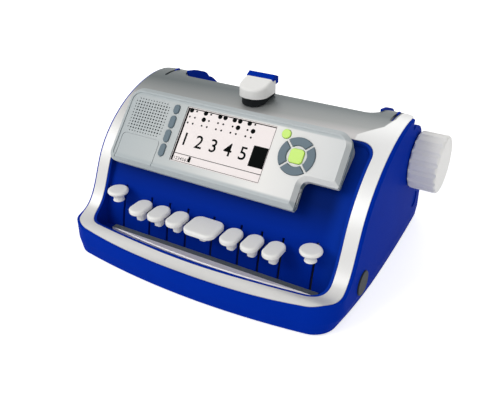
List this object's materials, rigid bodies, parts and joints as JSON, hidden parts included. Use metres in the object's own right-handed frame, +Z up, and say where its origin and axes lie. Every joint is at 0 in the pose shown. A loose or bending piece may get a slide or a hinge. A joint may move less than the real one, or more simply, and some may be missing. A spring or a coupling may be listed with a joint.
{
  "type": "braille writer",
  "caption": "Manual braille writer with a sloping display module above a well of sprung keys, a sliding embossing head, paper feed knobs and a blue casing.",
  "frame": {"origin": "on the floor, under the middle of the machine's box", "axes": "+X to the user's right along the width, +Y from the keys to the back, +Z up"},
  "size_m": [0.3386, 0.2494, 0.1602],
  "materials": {
    "casing_blue": "moulded, satin gloss",
    "well_blue": "moulded, satin",
    "cover_silver": "satin metallic lacquer",
    "display_grey": "fine silver moulded",
    "display_rear": "fine moulded",
    "screen": "smooth panel, black characters on white",
    "button_grey": "soft moulded",
    "button_green": "soft moulded",
    "key_white": "satin moulded",
    "steel": "bright",
    "dark_steel": "oiled",
    "bar_silver": "bright drawn",
    "felt": "felt",
    "rubber_black": "matt",
    "plug_black": "fine moulded",
    "roller_rubber": "ground",
    "board_green": "lacquered board",
    "speaker_black": "paper cone and steel basket",
    "socket_steel": "bright",
    "battery_black": "shrink sleeve",
    "zinc": "zinc plated"
  },
  "bodies": {
    "root": {"lower_shell": "casing_blue", "bottom_plate": "plug_black", "rubber_feet": "rubber_black", "casing_screws": "zinc", "battery_pack": "battery_black", "side_plugs": "plug_black", "side_frames": "dark_steel", "key_pivot_shaft": "steel", "key_return_springs": "steel", "carriage_rails": "steel", "top_cover": "cover_silver", "well_panel": "well_blue", "well_bar": "bar_silver", "well_felt": "felt", "paper_table": "casing_blue", "rear_grip": "casing_blue", "display_housing": "display_grey", "display_back": "display_rear", "lcd_screen": "screen", "circuit_board": "board_green", "speaker": "speaker_black", "usb_socket": "socket_steel"},
    "line_key": {"line_key_lever": "dark_steel", "line_key_cap": "key_white"},
    "dot_3_key": {"dot_3_key_lever": "dark_steel", "dot_3_key_cap": "key_white"},
    "dot_2_key": {"dot_2_key_lever": "dark_steel", "dot_2_key_cap": "key_white"},
    "dot_1_key": {"dot_1_key_lever": "dark_steel", "dot_1_key_cap": "key_white"},
    "space_key": {"space_key_lever": "dark_steel", "space_key_cap": "key_white"},
    "dot_4_key": {"dot_4_key_lever": "dark_steel", "dot_4_key_cap": "key_white"},
    "dot_5_key": {"dot_5_key_lever": "dark_steel", "dot_5_key_cap": "key_white"},
    "dot_6_key": {"dot_6_key_lever": "dark_steel", "dot_6_key_cap": "key_white"},
    "backspace_key": {"backspace_key_lever": "dark_steel", "backspace_key_cap": "key_white"},
    "soft_button_1": {"soft_button_1": "button_grey"},
    "soft_button_2": {"soft_button_2": "button_grey"},
    "soft_button_3": {"soft_button_3": "button_grey"},
    "soft_button_4": {"soft_button_4": "button_grey"},
    "nav_up": {"nav_up": "button_grey"},
    "nav_left": {"nav_left": "button_grey"},
    "nav_down": {"nav_down": "button_grey"},
    "nav_right": {"nav_right": "button_grey"},
    "nav_centre": {"nav_centre": "button_green"},
    "power_button": {"power_button": "button_green"},
    "embossing_head": {"head_carriage": "dark_steel", "head_arm": "casing_blue", "head_handle": "key_white", "head_skirt": "rubber_black"},
    "paper_feed": {"feed_shaft": "steel", "feed_roller": "roller_rubber", "feed_knobs": "key_white"},
    "paper_release": {"release_shaft": "steel", "release_levers": "casing_blue"},
    "reading_rest": {"reading_rest": "casing_blue"}
  },
  "joints": [
    {"name": "line_key_press", "type": "hinge", "parent": "root", "child": "line_key", "pos_m": [0, 0.03, 0.03593], "axis": [1, 0, 0], "range_deg": [0, 4.5], "stiffness_Nm_per_rad": 1.6, "springref_deg": -6.88},
    {"name": "dot_3_key_press", "type": "hinge", "parent": "root", "child": "dot_3_key", "pos_m": [0, 0.03, 0.03593], "axis": [1, 0, 0], "range_deg": [0, 4.5], "stiffness_Nm_per_rad": 1.6, "springref_deg": -6.88},
    {"name": "dot_2_key_press", "type": "hinge", "parent": "root", "child": "dot_2_key", "pos_m": [0, 0.03, 0.03593], "axis": [1, 0, 0], "range_deg": [0, 4.5], "stiffness_Nm_per_rad": 1.6, "springref_deg": -6.88},
    {"name": "dot_1_key_press", "type": "hinge", "parent": "root", "child": "dot_1_key", "pos_m": [0, 0.03, 0.03593], "axis": [1, 0, 0], "range_deg": [0, 4.5], "stiffness_Nm_per_rad": 1.6, "springref_deg": -6.88},
    {"name": "space_key_press", "type": "hinge", "parent": "root", "child": "space_key", "pos_m": [0, 0.03, 0.03593], "axis": [1, 0, 0], "range_deg": [0, 4.5], "stiffness_Nm_per_rad": 1.6, "springref_deg": -6.88},
    {"name": "dot_4_key_press", "type": "hinge", "parent": "root", "child": "dot_4_key", "pos_m": [0, 0.03, 0.03593], "axis": [1, 0, 0], "range_deg": [0, 4.5], "stiffness_Nm_per_rad": 1.6, "springref_deg": -6.88},
    {"name": "dot_5_key_press", "type": "hinge", "parent": "root", "child": "dot_5_key", "pos_m": [0, 0.03, 0.03593], "axis": [1, 0, 0], "range_deg": [0, 4.5], "stiffness_Nm_per_rad": 1.6, "springref_deg": -6.88},
    {"name": "dot_6_key_press", "type": "hinge", "parent": "root", "child": "dot_6_key", "pos_m": [0, 0.03, 0.03593], "axis": [1, 0, 0], "range_deg": [0, 4.5], "stiffness_Nm_per_rad": 1.6, "springref_deg": -6.88},
    {"name": "backspace_key_press", "type": "hinge", "parent": "root", "child": "backspace_key", "pos_m": [0, 0.03, 0.03593], "axis": [1, 0, 0], "range_deg": [0, 4.5], "stiffness_Nm_per_rad": 1.6, "springref_deg": -6.88},
    {"name": "soft_button_1_press", "type": "slide", "parent": "root", "child": "soft_button_1", "axis": [0, 0.7581, -0.6521], "range_m": [0, 0.0008], "stiffness_N_per_m": 300, "springref_m": -0.001},
    {"name": "soft_button_2_press", "type": "slide", "parent": "root", "child": "soft_button_2", "axis": [0, 0.7581, -0.6521], "range_m": [0, 0.0008], "stiffness_N_per_m": 300, "springref_m": -0.001},
    {"name": "soft_button_3_press", "type": "slide", "parent": "root", "child": "soft_button_3", "axis": [0, 0.7581, -0.6521], "range_m": [0, 0.0008], "stiffness_N_per_m": 300, "springref_m": -0.001},
    {"name": "soft_button_4_press", "type": "slide", "parent": "root", "child": "soft_button_4", "axis": [0, 0.7581, -0.6521], "range_m": [0, 0.0008], "stiffness_N_per_m": 300, "springref_m": -0.001},
    {"name": "nav_up_press", "type": "slide", "parent": "root", "child": "nav_up", "axis": [0, 0.7581, -0.6521], "range_m": [0, 0.0008], "stiffness_N_per_m": 300, "springref_m": -0.001},
    {"name": "nav_left_press", "type": "slide", "parent": "root", "child": "nav_left", "axis": [0, 0.7581, -0.6521], "range_m": [0, 0.0008], "stiffness_N_per_m": 300, "springref_m": -0.001},
    {"name": "nav_down_press", "type": "slide", "parent": "root", "child": "nav_down", "axis": [0, 0.7581, -0.6521], "range_m": [0, 0.0008], "stiffness_N_per_m": 300, "springref_m": -0.001},
    {"name": "nav_right_press", "type": "slide", "parent": "root", "child": "nav_right", "axis": [0, 0.7581, -0.6521], "range_m": [0, 0.0008], "stiffness_N_per_m": 300, "springref_m": -0.001},
    {"name": "nav_centre_press", "type": "slide", "parent": "root", "child": "nav_centre", "axis": [0, 0.7581, -0.6521], "range_m": [0, 0.0008], "stiffness_N_per_m": 300, "springref_m": -0.001},
    {"name": "power_button_press", "type": "slide", "parent": "root", "child": "power_button", "axis": [0, 0.7581, -0.6521], "range_m": [0, 0.0008], "stiffness_N_per_m": 300, "springref_m": -0.001},
    {"name": "head_slide", "type": "slide", "parent": "root", "child": "embossing_head", "axis": [1, 0, 0], "range_m": [-0.0775, 0.0875]},
    {"name": "feed_turn", "type": "hinge", "parent": "root", "child": "paper_feed", "pos_m": [0, 0.073, 0.089], "axis": [1, 0, 0], "continuous": true},
    {"name": "release_pull", "type": "hinge", "parent": "root", "child": "paper_release", "pos_m": [0, 0.051, 0.05597], "axis": [1, 0, 0], "range_deg": [0, 11]},
    {"name": "rest_fold", "type": "hinge", "parent": "root", "child": "reading_rest", "pos_m": [0, 0.11939, 0.08419], "axis": [1, 0, 0], "range_deg": [-110, 0]}
  ]
}
